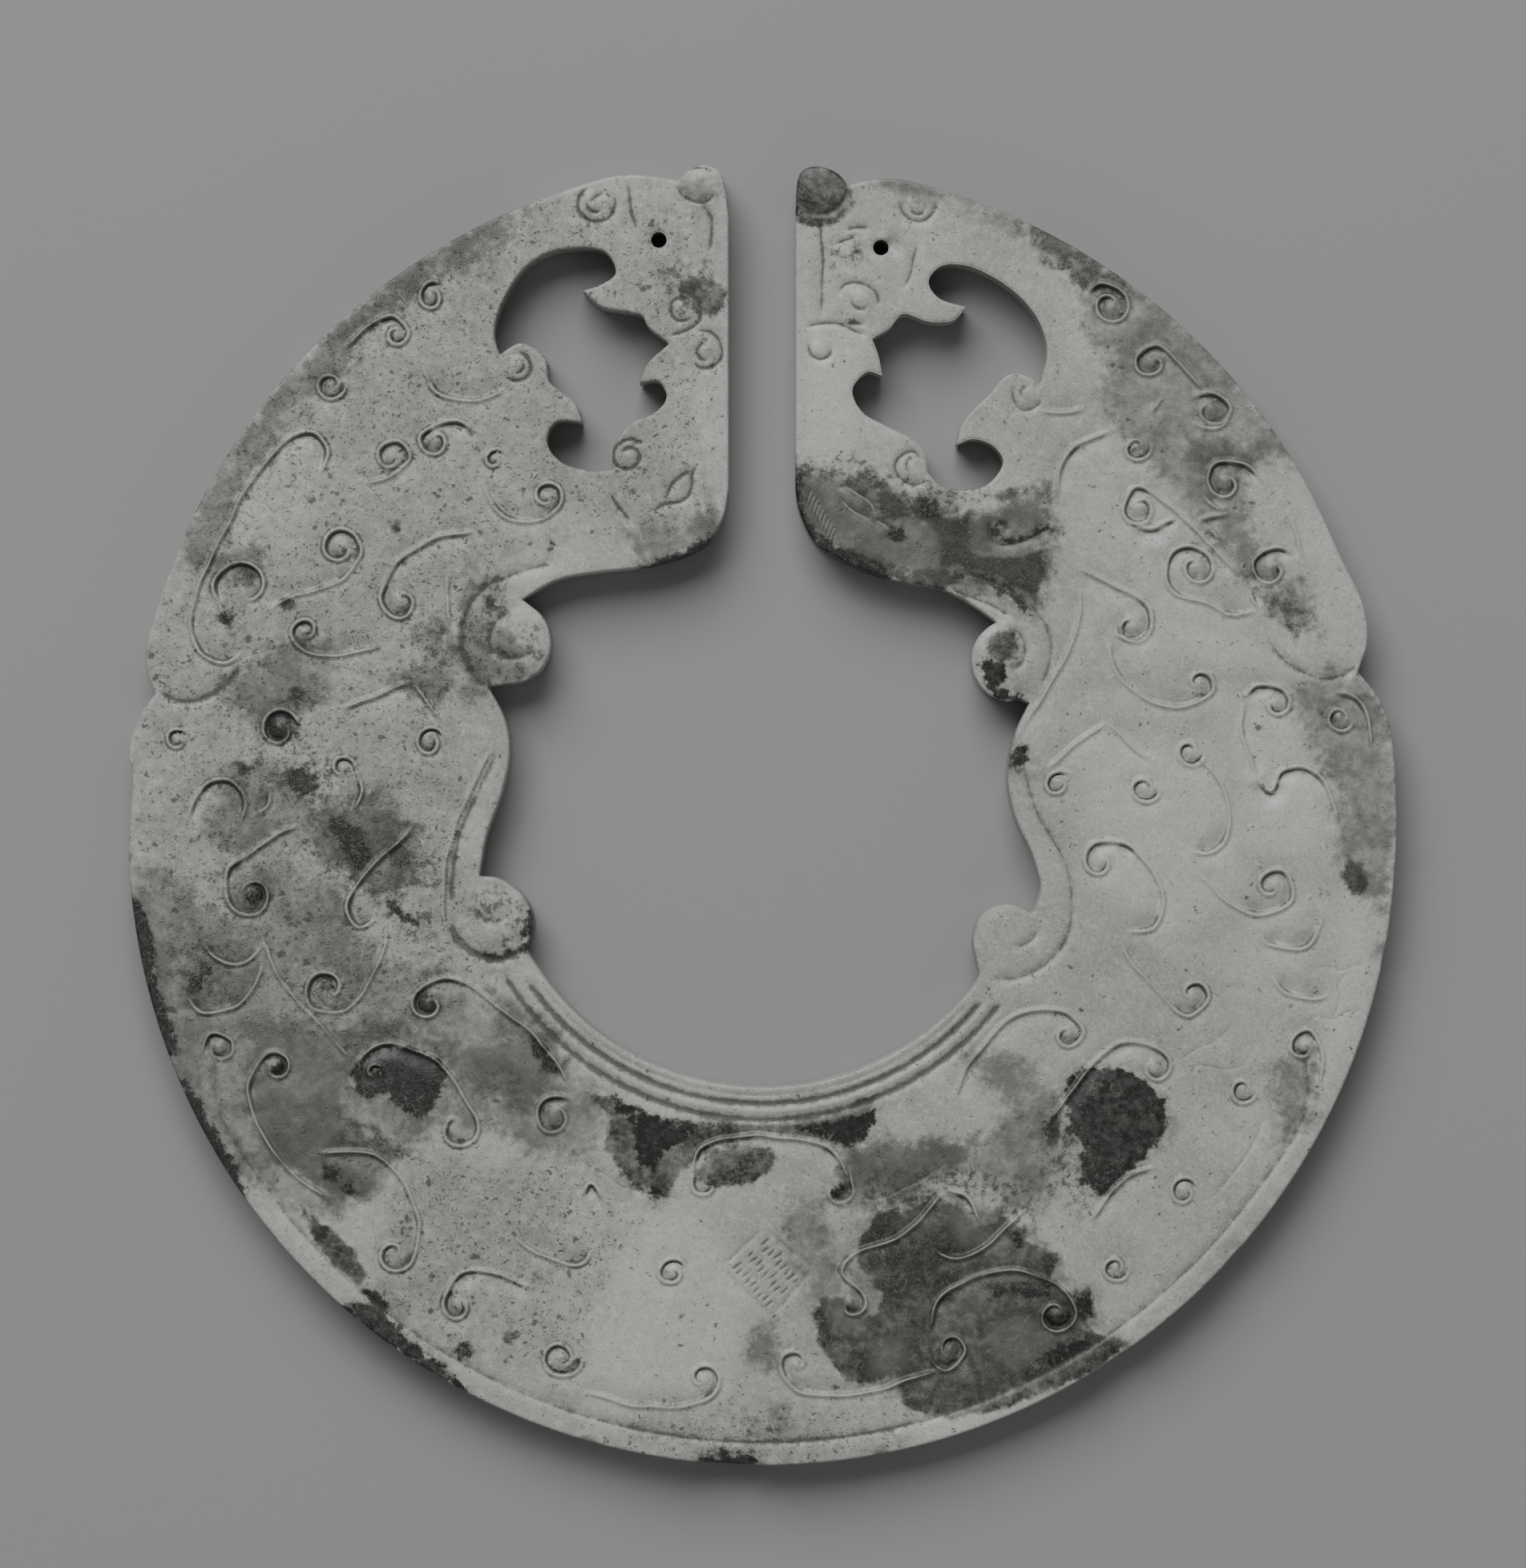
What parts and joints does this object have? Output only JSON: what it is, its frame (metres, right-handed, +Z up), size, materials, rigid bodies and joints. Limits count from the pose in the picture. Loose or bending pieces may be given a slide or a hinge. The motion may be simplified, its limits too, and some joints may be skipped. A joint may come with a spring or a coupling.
{
  "type": "jade slit ring",
  "caption": "Flat carved stone ring, cut through by a narrow slit between two facing dragon heads, with pierced openings and scrollwork.",
  "frame": {"origin": "under the middle of the outline, on the surface that the ring lies on", "axes": "+X across the ring, +Y towards the slit, +Z up out of the carved face"},
  "size_m": [0.2018, 0.207, 0.0095],
  "materials": {
    "jade": "polished"
  },
  "bodies": {
    "root": {"slit_ring": "jade"}
  },
  "joints": []
}
